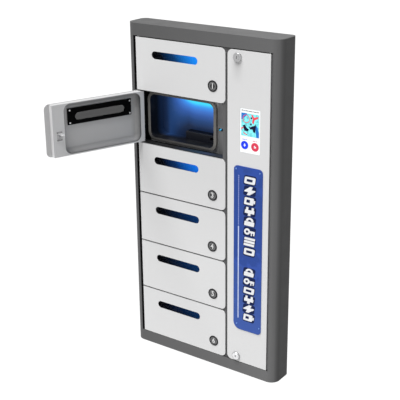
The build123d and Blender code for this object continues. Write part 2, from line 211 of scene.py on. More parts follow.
def piece(name, shape, look, body=None):
    """A finished piece from a mesh or a bmesh, with its look and the body it rides on."""
    mesh = shape
    if isinstance(shape, bmesh.types.BMesh):
        mesh = bpy.data.meshes.new(name)
        shape.to_mesh(mesh)
        shape.free()
    made = bpy.data.objects.new(name, mesh)
    bpy.context.scene.collection.objects.link(made)
    mesh.materials.clear()
    mesh.materials.append(look)
    if body:
        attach(made, body)
    return made


ground = bmesh.new()
bmesh.ops.create_grid(ground, x_segments=2, y_segments=2, size=16,
                      matrix=Matrix.Translation((0, 8, -1.4)))
piece("floor", ground, surface("floor_paper", (0.60, 0.60, 0.60), 0.95, spread=0.004,
                                        cloud=2, grain=300, depth=0.0002,
                                        Specular_IOR_Level=0.0))


# Cabinet: a casing of folded sheet steel with its powder coat in dark grey satin, closed by a
# zinc-coated back plate. A folded post parts the doors; it is coloured darker as painted shade
# of the narrow gap it shows through, and painted paler behind the small doors.

def dress(name, look):
    """Give a carried-over node its finish."""
    nodes[name].data.materials.clear()
    nodes[name].data.materials.append(look)


def axes(made, place=None):
    """X, Y and Z of each point of a piece."""
    place = place_of(made) if place is None else place
    return [Amount(made, part)
            for part in node(made, "ShaderNodeSeparateXYZ", {0: place}).outputs]


def shade(made, factor):
    """Multiply the colour that a material has by an amount; this paints light and shade into it."""
    shader = made.node_tree.nodes["Principled BSDF"]
    colour = shader.inputs["Base Color"].links[0].from_socket
    grey = node(made, "ShaderNodeCombineColor", {0: factor, 1: factor, 2: factor}).outputs[0]
    feed(made, "Base Color", node(made, "ShaderNodeMix", {0: 1.0, 6: colour, 7: grey},
                                  data_type="RGBA", blend_type="MULTIPLY").outputs[2])


cabinet_coat = surface("cabinet_coat", (0.122, 0.122, 0.123), 0.5, spread=0.03, cloud=6,
                       Specular_IOR_Level=0.05)
front_face = -0.070
mouth_half_width, mouth_half_height = 0.1893, 0.3822
# Painted light and shade: the front is painted paler to the right and darker upwards, the right
# side and the roof darker, and the mouth's inner walls near black as painted shadow.
x, y, z = axes(cabinet_coat)
upward = z.share(-0.4, 0.41)
front = 0.90 + x.share(-0.2, 0.2) * 0.26 - upward * 0.10
painted_side_shade = x.share(0.2025, 0.2088) * (0.47 - upward * 0.10)
painted_roof_shade = z.share(0.41050, 0.41065) * 0.24
painted_mouth_shadow = (y.share(front_face + 0.0005, front_face + 0.0010) * (abs(x) < mouth_half_width)
          * (abs(z) < mouth_half_height) * 0.93)
shade(cabinet_coat, front * (1 - painted_side_shade) * (1 - painted_roof_shade) * (1 - painted_mouth_shadow))
dress("casing", cabinet_coat)

galvanised = surface("galvanised", (0.30, 0.31, 0.32), 0.42, spread=0.12, cloud=60, depth=0.00002,
                     Metallic=0.8)
dress("back_plate", galvanised)

# Painted shade and light: the post is coloured darker than the casing for the gap it shows through,
# and painted paler behind the small doors.
mullion_coat = surface("mullion_coat", (0.085, 0.085, 0.086), 0.5, spread=0.03, cloud=6,
                       Specular_IOR_Level=0.05)
x, y, z = axes(mullion_coat)
shade(mullion_coat, x.between(1.35, 1.0, 0.066, 0.070))
dress("mullion", mullion_coat)


# Ledges between the small doors: folded steel, coated near black, with painted blue light of
# the open compartment on their right part. The steel hinge pins with collars stand in them.

def mottle(made, place, scale, detail, reach):
    """Slow unevenness, this much up and down from zero."""
    return noise(made, place, scale, detail).between(-reach, reach, 0.3, 0.7)


door_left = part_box("door_1_plate")[0].x
divider_coat = surface("divider_coat", None, 0.5, Specular_IOR_Level=0.1)
place = place_of(divider_coat)
x, y, z = axes(divider_coat, place)
# Painted light: the near-black colour turns blue towards the right, where the compartment's blue
# light falls.
feed(divider_coat, "Base Color",
     ramp(x.share(door_left, door_left + 0.215) + mottle(divider_coat, place, 30, 3, 0.04),
          [(0.45, (0.012, 0.012, 0.0125)), (1.0, (0.018, 0.021, 0.026)),
           (0.60, (0.013, 0.016, 0.024)), (0.76, (0.014, 0.027, 0.044)),
           (0.89, (0.023, 0.032, 0.062))]))
dress("dividers", divider_coat)
pin_steel = surface("pin_steel", (0.52, 0.52, 0.53), 0.3, spread=0.06, cloud=200, grain=2500,
                    stretch=(1, 1, 0.02), Metallic=1.0)
dress("hinge_pins", pin_steel)


# Recessed sheet behind the small doors: folded steel with the dark coat, cut out for each
# tray and each lock. Its colour is set paler than the casing's as painted light in the
# pockets, painted paler still under each door's top edge, beside the tray and below it, and
# darker towards each pocket's foot and near the hinges as painted shade.

numbers = range(1, 7)
door_pitch = 0.127
door_tops = {number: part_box("door_1_plate")[1].z - door_pitch * (number - 1)
             for number in numbers}


def under_top(z):
    """How far a height lies below the top edge of its own door."""
    return worked(z.made, "WRAP", door_tops[1] - z, door_pitch - 0.0005, -0.0005)


tray_right = door_left + 0.2147
frame_coat = surface("frame_coat", (0.17, 0.17, 0.172), 0.5, spread=0.03, cloud=6,
                     Specular_IOR_Level=0.1)
x, y, z = axes(frame_coat)
down = under_top(z)
# Painted light and shade: paler under each door's top edge, beside the tray and below it, darker
# towards each pocket's foot, and near black by the hinges as painted shadow.
painted_light_under_top = down.between(0.95, -0.06, 0.012, 0.044)
painted_shade_to_foot = down.between(1.0, 0.68, 0.078, 0.124)
painted_light_below_tray = (down.between(0.0, 0.9, 0.1175, 0.1195)
              * x.between(1.0, 0.0, tray_right - 0.0147, tray_right - 0.0027))
painted_light_beside_tray = x.between(1.75, 1.0, tray_right - 0.0002, tray_right + 0.0038)
painted_hinge_shade_factor = x.share(-0.163, -0.150)
shade(frame_coat, (painted_light_under_top + painted_shade_to_foot + painted_light_below_tray) * painted_light_beside_tray * painted_hinge_shade_factor)
dress("door_frame", frame_coat)


# Trays: near-black moulded plastic with a paler raised rim round the mouth. Each goes into
# its opening from the front until its skirt stands on the recessed sheet. The blue glow of
# the light bar on its back wall is painted light, given off by the tray's own surface.

def largest(first, *others):
    """The largest of some amounts."""
    for other in others:
        first = worked(first.made, "MAXIMUM", first, other)
    return first


def distance(across, upward):
    """How far a point lies from zero."""
    return worked(across.made, "SQRT", across * across + upward * upward)


tray_plastic = material("tray_plastic", Specular_IOR_Level=0.2, Emission_Strength=1.0)
place = place_of(tray_plastic)
x, y, z = axes(tray_plastic, place)
down = under_top(z)
rim_front, rim_top, rim_foot, rim_radius = -0.0541, 0.0016, 0.1206, 0.0212
on_rim = y < rim_front
corner_x = largest(x - (tray_right - rim_radius), 0)
corner_z = largest(rim_top + rim_radius - down, down - (rim_foot - rim_radius), 0)
on_skirt = (distance(corner_x, corner_z) > rim_radius - 0.0003) * (corner_x > 0)
# Painted shade and light: a painted shadow on the rim's lower left, rim and skirt painted darker
# towards their foot, the skirt's outer side and the upper right corner painted paler.
in_shadow = (x.between(0.75, 0.45, door_left + 0.06, door_left + 0.16)
             * down.share(0.100, 0.113))
rim = (1 - in_shadow) * down.between(1.0, 0.3, 0.1165, 0.1190) * on_rim
skirt = on_skirt * down.between(1.0, 0.8, 0.110, 0.119)
feed(tray_plastic, "Base Color",
     ramp(largest(rim, skirt) + mottle(tray_plastic, place, 30, 4, 0.1),
          [(0.0, (0.006, 0.006, 0.007)), (1.0, (0.135, 0.130, 0.122))]))
shade(tray_plastic, 1 + on_skirt * (1 - on_rim) * 0.4)
painted_corner_light = (down.between(1.2, 0.0, 0.010, 0.026)
                * x.share(door_left + 0.198, door_left + 0.206))
shade(tray_plastic, 1 + painted_corner_light)
feed(tray_plastic, "Roughness", noise(tray_plastic, place, 60, 3).between(0.36, 0.50, 0.3, 0.7))
bumps(tray_plastic, noise(tray_plastic, place, 1500, 2), 0.00002)

# Painted light: the tray's back wall gives off the light bar's blue glow itself, brightest beside
# the bar and fading to the left and downwards.
lamp_left, lamp_down = door_left + 0.122, 0.0285
from_lamp = largest(lamp_left - x, 0.0)
below_lamp = (down - lamp_down) * from_lamp.between(1.0, 0.05, 0.02, 0.075)
away = from_lamp * (0.10 + from_lamp * 6.8) + below_lamp
glow = ramp(away.share(0.0, 0.09),
            [(0.0, (0.05, 0.72, 1.0)), (1.0, (0.001, 0.0016, 0.004)), (0.02, (0.055, 0.56, 1.0)),
             (0.09, (0.045, 0.29, 0.87)), (0.19, (0.045, 0.175, 0.60)),
             (0.31, (0.028, 0.100, 0.37)), (0.46, (0.013, 0.055, 0.19)),
             (0.66, (0.006, 0.019, 0.062))])
at_back = y.share(-0.030, -0.012)
feed(tray_plastic, "Emission Color",
     node(tray_plastic, "ShaderNodeMix", {6: (0, 0, 0, 1), 7: glow, 0: at_back},
          data_type="RGBA").outputs[2])
for number in numbers:
    dress(f"compartment_tray_{number}", tray_plastic)


# Light bars: a strip of blue light under each tray's ceiling, at the back on the right,
# behind a milky plastic cover that is glued in place.

blue_light = surface("blue_light", (0.3, 0.6, 0.9), 0.35, spread=0.05, cloud=40, grain=300,
                     Emission_Strength=2.5)
feed(blue_light, "Emission Color",
     ramp(noise(blue_light, place_of(blue_light), 110, 2),
          [(0.3, (0.03, 0.33, 0.95)), (0.7, (0.06, 0.45, 1.0))]))
dress("compartment_lamps", blue_light)


# Charging modules: black moulded blocks on the tray floors. Each has a port in its front,
# with a drawn metal lining and a plastic tongue.

def circle(x, z, radius, count=24):
    """Outline of a circle."""
    return [(x + radius * math.cos(turn * math.tau / count),
             z + radius * math.sin(turn * math.tau / count)) for turn in range(count)]


def bar(x0, z0, x1, z1, radius=0.0):
    """Outline of a rectangle, with rounded corners if asked."""
    if not radius:
        return [(x0, z0), (x1, z0), (x1, z1), (x0, z1)]
    corners = ((x1 - radius, z1 - radius), (x0 + radius, z1 - radius),
               (x0 + radius, z0 + radius), (x1 - radius, z0 + radius))
    return [(x + radius * math.cos((step / 5 + quarter) * math.pi / 2),
             z + radius * math.sin((step / 5 + quarter) * math.pi / 2))
            for quarter, (x, z) in enumerate(corners) for step in range(6)]


upright = Matrix.Rotation(math.pi / 2, 4, "X")


def meshed(drawn):
    """Mesh of a curve or a letter."""
    holder = bpy.data.objects.new("drawn", drawn)
    bpy.context.scene.collection.objects.link(holder)
    made = bpy.data.meshes.new_from_object(
        holder.evaluated_get(bpy.context.evaluated_depsgraph_get()))
    bpy.data.objects.remove(holder)
    return made


def flat(outlines, thickness, soft=0.0):
    """Mesh of a flat shape seen from the front, its back on y = 0; an outline in another is a
    hole. Its front edges are rounded if asked."""
    drawn = bpy.data.curves.new("drawn", "CURVE")
    drawn.dimensions = "2D"
    drawn.fill_mode = "BOTH"
    drawn.extrude = thickness / 2 - soft
    drawn.bevel_depth = soft
    drawn.bevel_resolution = 1
    drawn.offset = -soft
    for outline in outlines:
        line = drawn.splines.new("POLY")
        line.points.add(len(outline) - 1)
        for point, (x, z) in zip(line.points, outline):
            point.co = (x, z, 0, 1)
        line.use_cyclic_u = True
    made = meshed(drawn)
    made.transform(Matrix.Translation((0, -thickness / 2, 0)) @ upright)
    return made


def gather(parts):
    """One bmesh from (mesh, matrix) pairs, with doubled points merged."""
    whole = bmesh.new()
    for mesh, matrix in parts:
        copy = mesh.copy()
        copy.transform(matrix)
        whole.from_mesh(copy)
    bmesh.ops.remove_doubles(whole, verts=whole.verts, dist=1e-7)
    return whole


def at(x, y, z, turn=0):
    """Matrix that turns a piece about Z, in degrees, and moves it."""
    return Matrix.Translation((x, y, z)) @ Matrix.Rotation(math.radians(turn), 4, "Z")


# The faint blue in the blocks' near-black colour is painted light: the blue light of the
# compartment.
module_black = surface("module_black", (0.004, 0.005, 0.010), 0.5, spread=0.1, grain=1800,
                       depth=0.00002, Specular_IOR_Level=0.2)
dress("charging_modules", module_black)
port_metal = surface("port_metal", (0.20, 0.22, 0.22), 0.3, spread=0.06, cloud=300, grain=3000,
                     depth=0.00001, Metallic=0.3)
port_black = surface("port_black", (0.01, 0.01, 0.011), 0.4, spread=0.2, cloud=200)
lining = flat([bar(-0.0063, -0.0028, 0.0063, 0.0028, 0.0012),
               bar(-0.0058, -0.0023, 0.0058, 0.0023, 0.0009)], 0.0074)
tongue = flat([bar(-0.0050, 0.0003, 0.0050, 0.0018, 0.0003)], 0.0060)
module_low, module_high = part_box("charging_modules")
port_x, port_back, port_down = (module_low.x + module_high.x) / 2, module_low.y + 0.0078, 0.103
ports = [at(port_x, port_back, top - port_down) for top in door_tops.values()]
piece("port_shells", gather([(lining, where) for where in ports]), port_metal, "cabinet")
piece("port_tongues", gather([(tongue, where) for where in ports]), port_black, "cabinet")


# Electric locks: zinc bodies behind the recessed sheet, each with a steel bolt that rises
# into the eye of the door's striker. A small disc on the left wall of each slot glows blue as
# painted light: the compartment's light seen through the lock's hole.

lock_zinc = surface("lock_zinc", (0.06, 0.065, 0.08), 0.5, spread=0.1, cloud=80, Metallic=0.6)
dress("lock_bodies", lock_zinc)
steel = surface("steel", (0.62, 0.62, 0.63), 0.32, spread=0.06, cloud=150, grain=2500,
                stretch=(1, 0.05, 1), Metallic=0.75)
for number in numbers:
    dress(f"latch_bolt_{number}", steel)
painted_slot_glow = surface("painted_slot_glow", (0.1, 0.4, 0.6), 0.4, spread=0.05, cloud=300,
                     Emission_Strength=1.2)
place = place_of(painted_slot_glow)
x, y, z = axes(painted_slot_glow, place)
feed(painted_slot_glow, "Emission Color",
     ramp(y.share(-0.0440, -0.0348) + mottle(painted_slot_glow, place, 500, 1, 0.1),
          [(0.1, (0.05, 0.42, 0.70)), (1.0, (0.03, 0.09, 0.15)), (0.5, (0.05, 0.33, 0.60))]))
# The disc called lens here is no lamp: its blue glow is painted light.
lens = flat([bar(-0.0022, -0.0022, 0.0070, 0.0022, 0.0021)], 0.0009, 0.0003)
lens_x, lens_y, lens_down = door_left + 0.21675, -0.0418, 0.0694
piece("lock_slot_glow_patches",
      gather([(lens, at(lens_x, lens_y, top - lens_down, 90)) for top in door_tops.values()]),
      painted_slot_glow, "cabinet")


# Small door plates: powder-coated steel, very light grey, with a slot cut for the window, and
# painted greyer on their edges and back as shade. Door 2 stands open, turned about its pins,
# and its looks are laid out as if shut.

open_door = 2
open_angle = math.radians(111.2)
hinge_pin = Vector((door_left + 0.0045, -0.0655, 0))


def shut_place(made, number):
    """The piece's own coordinates, turned back to where they are when its door is shut."""
    place = place_of(made)
    if number != open_door:
        return place
    turn = Matrix.Rotation(open_angle, 3, "Z")
    return node(made, "ShaderNodeMapping", {"Vector": place,
                                            "Location": hinge_pin - turn @ hinge_pin,
                                            "Rotation": (0, 0, open_angle)}).outputs[0]


slot_middle, slot_down = door_left + 0.11095, 0.0379
lock_x = 0.0995


def plate_coat(number):
    """Coat of a door's plate, with painted shade on its edges and back and in the slot's cut. The
    shut doors and the service door share one, so the painted shade along the small doors' top
    edges and down their column stops at their right edge, and a painted shadow lies under the
    upper lock."""
    made = surface(f"door_coat_{number}", None, 0.42, cloud=5, Specular_IOR_Level=0.2)
    x, y, z = axes(made, shut_place(made, number))
    down = under_top(z)
    # Painted shade: the plate's edges and back are coloured greyer than its front.
    feed(made, "Base Color",
         ramp((y > front_face + 0.0010) + mottle(made, place_of(made), 5, 4, 0.1),
              [(0.1, (0.642, 0.642, 0.644)), (0.9, (0.52, 0.52, 0.523))]))
    below_door_1 = z < 0.3
    painted_slot_shade = ((abs(x - slot_middle) < 0.0660) * (abs(down - slot_down) < 0.0100)
                 * (y > front_face + 0.00015) * below_door_1)
    shade(made, 1 - painted_slot_shade * 0.9)
    if number == open_door:
        return made
    painted_top_edge_shade = down.between(0.6, 0.0, 0.0004, 0.0008) * below_door_1
    painted_column_shade = (z < 0.2) * z.between(0.0, 0.07, -0.14, 0.08)
    shade(made, 1 - (x < 0.07) * largest(painted_top_edge_shade, painted_column_shade))
    painted_lock_shadow = (abs(x - lock_x).between(0.17, 0.0, 0.002, 0.017)
                  * (z.share(0.302, 0.346) * z.between(1.0, 0.0, 0.352, 0.362)))
    shade(made, 1 - painted_lock_shadow)
    return made


door_coat = plate_coat(1)
for number in numbers:
    dress(f"door_{number}_plate", plate_coat(number) if number == open_door else door_coat)


# Small door liners: hollow steel pressings with a dished middle, in the plate's colour and
# spot-welded behind it. The dish has painted shade round its edge, under its top, at the hinge
# and at its foot, and the liner's top edge is painted darker as shade.

dish_middle, dish_down = door_left + 0.10925, 0.06145
dish_edge = 0.0146


def pressed_coat(number):
    """Coat of a door's liner, with the painted shade of its dish and its top edge."""
    made = surface(f"liner_coat_{number}", None, 0.45, cloud=8, Specular_IOR_Level=0.2)
    place = shut_place(made, number)
    x, y, z = axes(made, place)
    down = under_top(z)
    outside = distance(largest(abs(x - dish_middle) - 0.08325, 0),
                       largest(abs(down - dish_down) - 0.04295, 0))
    behind_face = (outside < dish_edge + 0.0006) * worked(made, "MINIMUM", y + 0.055, 0)
    outside = outside + behind_face * 0.5
    # The dish's floor is a darker grey than the border; towards its wall and in a thin ring at its
    # lip it is painted darker still, as shade in the crease.
    feed(made, "Base Color",
         ramp((outside + mottle(made, place, 9, 4, 0.0004)).share(0.002, 0.018),
              [(0.05, (0.46, 0.46, 0.465)), (1.0, (0.59, 0.59, 0.595)),
               (0.40, (0.38, 0.38, 0.385)), (0.66, (0.25, 0.25, 0.254)),
               (0.76, (0.12, 0.12, 0.122)), (0.82, (0.09, 0.09, 0.092)),
               (0.86, (0.30, 0.30, 0.303)), (0.92, (0.59, 0.59, 0.595))]))
    # Painted shade under the dish's top, at its hinge side and at its foot, and along the liner's
    # top edge.
    upper = down.between(0.5, 0.0, 0.0110, 0.0141)
    hinge_side = (down.between(1.85, 1.0, 0.006, 0.045)
                  * x.between(0.32, 0.0, door_left + 0.0155, door_left + 0.031))
    lower = down.between(0.0, 0.20, 0.1062, 0.1092)
    shade(made, 1 - largest(upper, hinge_side, lower) * (outside < dish_edge))
    shade(made, down.between(0.75, 1.0, 0.0012, 0.0018))
    return made


liner_coat = pressed_coat(1)
for number in numbers:
    dress(f"door_{number}_liner", pressed_coat(number) if number == open_door else liner_coat)


# Windows: a smoked acrylic pane behind each door's slot, clamped by a black moulded frame
# with four screws. On a shut door the pane's front gives off painted light: the compartment's
# glow, dark on the left and filling its right half.

painted_window_glows = {1: (0.008, 0.270, 0.98), 3: (0.004, 0.155, 0.74), 4: (0.0, 0.023, 0.100),
         5: (0.0, 0.021, 0.088), 6: (0.0, 0.017, 0.068)}


def smoked(number):
    """Smoked acrylic; on a shut door its front gives off painted light of the compartment behind.
    """
    made = surface(f"smoke_{number}", (0.002, 0.002, 0.0025), 0.15, spread=0.1, grain=400,
                   depth=0.000004, uneven=0.02, Alpha=0.72 if number == open_door else 0.68,
                   Specular_IOR_Level=0.02)
    if number == open_door:
        return made
    x, y, z = axes(made)
    along = x.share(door_left + 0.0575, door_left + 0.1705)
    slot_height = door_tops[number] - 0.038
    up = z.between(-0.06, 0.06, slot_height - 0.009, slot_height + 0.009)
    colour = painted_window_glows[number]
    # Painted light: dark on the left, in the compartment's colour on the right.
    feed(made, "Emission Color",
         ramp((along + up) * (y < front_face + 0.0020),
              [(0.12, (0, 0, 0)), (1.0, colour), (0.45, tone(colour, 0.12)),
               (0.72, tone(colour, 0.55))]))
    feed(made, "Emission Strength", 1.4)
    return made


def hung(shape, number):
    """Move a piece made for a shut door with its top left corner at zero to its own door."""
    turn = Matrix.Identity(4)
    if number == open_door:
        pivot = Matrix.Translation(hinge_pin)
        turn = pivot @ Matrix.Rotation(-open_angle, 4, "Z") @ pivot.inverted()
    shape.transform(turn @ Matrix.Translation((door_left, 0, door_tops[number])))
    return shape


def screw(radius, height):
    """Pan head with a cross recess, facing the front."""
    arm = radius * 0.55
    half = radius * 0.13
    cross = [(half, half), (half, arm), (-half, arm), (-half, half), (-arm, half), (-arm, -half),
             (-half, -half), (-half, -arm), (half, -arm), (half, -half), (arm, -half), (arm, half)]
    head = flat([circle(0, 0, radius), cross], height, height * 0.3)
    recess_floor = flat([circle(0, 0, radius * 0.8)], height * 0.4)
    mesh = bpy.data.meshes.new("screw")
    gather([(head, Matrix.Identity(4)), (recess_floor, Matrix.Identity(4))]).to_mesh(mesh)
    return mesh


window_black = surface("window_black", (0.0018, 0.0018, 0.0020), 0.6, spread=0.2, grain=1500,
                       depth=0.00002, Specular_IOR_Level=0.02)
screw_bright = surface("screw_bright", (0.66, 0.66, 0.67), 0.28, spread=0.05, cloud=300,
                       grain=3000, depth=0.00001, Metallic=1.0)
window_screw = screw(0.0020, 0.0012)
window_back = -0.0647
for number in numbers:
    dress(f"door_{number}_window_lens", smoked(number))
    dress(f"door_{number}_window_frame", window_black)
    heads = [(window_screw, at(x, window_back, z, 180)) for x in (0.0342, 0.1900)
             for z in (-0.021, -0.0505)]
    piece(f"door_{number}_window_screws", hung(gather(heads), number), screw_bright,
          f"door_{number}")


# Strikers: bent steel plates on the liner's free side, each with a tongue whose eye takes
# the lock's bolt, held by two dull screws. They have painted shade round the tongue's root and
# along the plate's lower edge, and the tongue is painted pale as lit from above.

def striker_look(number):
    """Steel with painted light and shade: the tongue painted pale as lit from above, the plate
    duller, with painted shade round the tongue's root and along the plate's lower edge.
    """
    made = surface(f"striker_look_{number}", None, 0.32, cloud=150, grain=2500,
                   stretch=(1, 0.05, 1), Metallic=0.75)
    place = shut_place(made, number)
    x, y, z = axes(made, place)
    down = ((y > -0.0537) + under_top(z).share(0.0632, 0.0852)
            + mottle(made, place, 150, 2, 0.02))
    feed(made, "Base Color",
         ramp(down, [(0.02, (0.40, 0.40, 0.405)), (1.0, (0.72, 0.72, 0.73)),
                     (0.08, (0.16, 0.16, 0.162)), (0.14, (0.16, 0.16, 0.162)),
                     (0.20, (0.62, 0.62, 0.63)), (0.27, (0.26, 0.26, 0.263)),
                     (0.45, (0.36, 0.36, 0.365)), (0.80, (0.34, 0.34, 0.345)),
                     (0.88, (0.16, 0.16, 0.162)), (0.97, (0.16, 0.16, 0.162))]))
    return made


screw_dull = surface("screw_dull", (0.30, 0.30, 0.305), 0.45, spread=0.05, cloud=300, grain=3000,
                     depth=0.00001, Metallic=0.6)
striker_screw = screw(0.0024, 0.0012)
striker_back = -0.0538
striker_shut = striker_look(1)
for number in numbers:
    dress(f"door_{number}_striker",
          striker_look(number) if number == open_door else striker_shut)
    heads = [(striker_screw, at(0.2225, striker_back, z, 180)) for z in (-0.0742, -0.0807)]
    piece(f"door_{number}_striker_screws", hung(gather(heads), number), screw_dull,
          f"door_{number}")


# Number badges: round black plastic discs with a printed grey ring and a white numeral,
# stuck on the plates' lower right corners by hand, so that their places differ a little.

badge_black = surface("badge_black", (0.011, 0.011, 0.012), 0.4, spread=0.15, cloud=120,
                      grain=1200, depth=0.000015, Specular_IOR_Level=0.15)
badge_grey = surface("badge_grey", (0.125, 0.125, 0.127), 0.4, spread=0.08, cloud=200,
                     Specular_IOR_Level=0.15)
numeral_white = surface("numeral_white", (0.60, 0.60, 0.60), 0.4, spread=0.03, cloud=200)
badges = {1: (0.2167, -0.0886), 2: (0.2160, -0.0905), 3: (0.2149, -0.0932),
          4: (0.2136, -0.0949), 5: (0.2149, -0.0912), 6: (0.2167, -0.0909)}
disc_thickness = 0.0008
for number, (x, z) in badges.items():
    body = f"door_{number}"
    disc = flat([circle(x, z, 0.0130, 48)], disc_thickness, 0.0002)
    disc.transform(Matrix.Translation((0, front_face, 0)))
    piece(f"{body}_badge", hung(disc, number), badge_black, body)
    ring = flat([circle(x, z, 0.0098, 48), circle(x, z, 0.0058, 48)], 0.0001)
    ring.transform(Matrix.Translation((0, front_face - disc_thickness, 0)))
    piece(f"{body}_badge_ring", hung(ring, number), badge_grey, body)
    letter = bpy.data.curves.new("letter", "FONT")
    letter.body = str(number)
    letter.size = 0.0168
    letter.align_x = "CENTER"
    letter.align_y = "CENTER"
    letter.extrude = 0.00008
    letter.offset = 0.0005
    numeral = gather([(meshed(letter), Matrix.Translation((x, front_face - 0.0009, z)) @ upright)])
    piece(f"{body}_numeral", hung(numeral, number), numeral_white, body)


# Service door: a tall plate with the small doors' coat, welded to a folded frame that is a
# little duller. It covers the bay with the power supply.

dress("service_door_plate", door_coat)
dress("service_door_liner", surface("service_liner_coat", (0.56, 0.56, 0.565), 0.45, spread=0.015,
                                    cloud=8, Specular_IOR_Level=0.2))


# Display: a lit panel set in the service door's plate, with a white ground. It shows a
# picture of plain shapes, a row of grey bars above, and a blue and a red button below.

def ink(name, colour, glow=0.0):
    """Printed or lit colour with a faint mottle."""
    return surface(name, colour, 0.3, spread=0.06, cloud=90, grain=1200, depth=0.000004,
                   Specular_IOR_Level=0.1, Emission_Strength=glow, Emission_Color=(*colour, 1))


def printed(name, outlines, y, thickness, look, body="service_door"):
    """Flat print on a face at y."""
    mesh = flat(outlines, thickness)
    mesh.transform(Matrix.Translation((0, y, 0)))
    return piece(name, mesh, look, body)


def scaled(outlines, x, z, width, height, lean=0.0):
    """Outlines of a sign moved to a place and stretched to a size."""
    return [[(x + width * (px + lean * pz), z + height * pz) for px, pz in outline]
            for outline in outlines]


display_face = material("display_face", Roughness=0.12, Emission_Strength=0.34)
place = place_of(display_face)
x, y, z = axes(display_face, place)
behind = y > front_face + 0.0010
feed(display_face, "Base Color",
     ramp(behind + mottle(display_face, place, 40, 3, 0.03),
          [(0.0, (0.62, 0.64, 0.65)), (1.0, (0.02, 0.02, 0.021))]))
feed(display_face, "Emission Color", ramp(behind, [(0.0, (0.95, 0.98, 1.0)),
                                                   (1.0, (0.0, 0.0, 0.0))]))
dress("display", display_face)

screen_left, screen_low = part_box("display")[0].x + 0.005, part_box("display")[0].z + 0.009
screen_width, screen_height = 0.052, 0.101
glass = front_face + 0.0003


def spot(x, z):
    """Point of the screen, from its left edge and up from its bottom, as shares."""
    return screen_left + screen_width * x, screen_low + screen_height * z


def patch(*shares):
    """Outline on the screen through points given as shares."""
    return [spot(x, z) for x, z in shares]


screen_cyan = surface("screen_cyan", (0.13, 0.58, 0.63), 0.3, spread=0.6, cloud=160, grain=900,
                      depth=0.000003, Emission_Strength=0.35, Emission_Color=(0.20, 0.62, 0.66, 1))
printed("screen_ground", [patch((0.06, 0.385), (0.95, 0.385), (0.95, 0.90), (0.06, 0.90))],
        glass, 0.00004, screen_cyan)
printed("screen_bands",
        [patch((0.06, 0.74), (0.13, 0.76), (0.36, 0.87), (0.33, 0.90), (0.06, 0.90)),
         patch((0.95, 0.385), (0.95, 0.50), (0.84, 0.66), (0.76, 0.60), (0.80, 0.45),
               (0.82, 0.385))],
        glass, 0.00007, ink("screen_blue", (0.015, 0.16, 0.50), 0.2))
dial_x, dial_z = spot(0.31, 0.775)
printed("screen_coral",
        [circle(dial_x, dial_z, 0.0094), circle(dial_x, dial_z, 0.0080),
         patch((0.55, 0.885), (0.63, 0.885), (0.70, 0.83), (0.90, 0.86), (0.91, 0.82),
               (0.72, 0.77), (0.68, 0.68), (0.60, 0.70), (0.63, 0.79)),
         patch((0.06, 0.56), (0.06, 0.52), (0.20, 0.57), (0.20, 0.595)),
         patch((0.16, 0.47), (0.18, 0.44), (0.36, 0.40), (0.36, 0.425))],
        glass, 0.00010, ink("screen_coral", (0.72, 0.07, 0.09), 0.2))
printed("screen_navy",
        [patch((0.14, 0.62), (0.24, 0.64), (0.34, 0.57), (0.44, 0.55), (0.40, 0.50),
               (0.22, 0.50)),
         patch((0.42, 0.63), (0.50, 0.595), (0.62, 0.63), (0.72, 0.645), (0.76, 0.69),
               (0.80, 0.64), (0.78, 0.58), (0.76, 0.49), (0.66, 0.50), (0.62, 0.56),
               (0.50, 0.55)),
         circle(*spot(0.545, 0.665), 0.0022, 16), circle(*spot(0.56, 0.805), 0.0021, 16)],
        glass, 0.00013, ink("screen_navy", (0.004, 0.006, 0.03), 0.05))
words = [patch((x, z), (x + long, z), (x + long, z + 0.018), (x, z + 0.018))
         for x, z, long in ((0.07, 0.947, 0.10), (0.19, 0.942, 0.06), (0.27, 0.945, 0.13),
                            (0.42, 0.942, 0.18), (0.62, 0.946, 0.05), (0.69, 0.942, 0.13),
                            (0.84, 0.945, 0.09))]
printed("screen_words", words, glass, 0.00005, ink("screen_grey", (0.17, 0.155, 0.15), 0.10))

bolt_sign = [[(-0.5, -0.02), (-0.02, 0.5), (0.24, 0.5), (0.14, 0.14), (0.5, 0.14), (0.5, 0.02),
              (0.02, -0.5), (-0.24, -0.5), (-0.14, -0.14), (-0.5, -0.14)]]
key_sign = [[(0.75 * x - 0.22, z) for x, z in circle(0, 0, 0.38)],
            [(0.75 * x - 0.22, z) for x, z in circle(0, 0, 0.15, 16)],
            [(0.07, 0.14), (0.07, -0.12), (0.16, -0.12), (0.16, -0.42), (0.27, -0.42),
             (0.27, -0.12), (0.38, -0.12), (0.38, -0.36), (0.5, -0.36), (0.5, 0.14)]]
for side, (x, z), radius, colour, sign in (
        ("blue", spot(0.235, 0.173), 0.0096, (0.012, 0.045, 0.72), bolt_sign),
        ("red", spot(0.755, 0.166), 0.0099, (0.60, 0.04, 0.08), key_sign)):
    look = ink(f"button_{side}", colour, 0.2)
    printed(f"button_{side}_words", [bar(x - 0.006, z + 0.0125, x + 0.001, z + 0.0137),
                                     bar(x + 0.0022, z + 0.0125, x + 0.006, z + 0.0137)],
            glass, 0.00005, ink(f"button_{side}_grey", tone(colour, 0.9), 0.3))
    printed(f"button_{side}", [circle(x, z, radius, 48)], glass, 0.00007, look)
    printed(f"button_{side}_sign", scaled(sign, x, z, 0.0056, 0.0080), glass, 0.00010,
            ink(f"button_{side}_white", (0.75, 0.78, 0.82), 0.2))


# Sign: a long blue plastic plate with a column of white pictograms on dark backing, and a
# pale line that is broken up in its upper part. Four painted screws hold it at its corners.

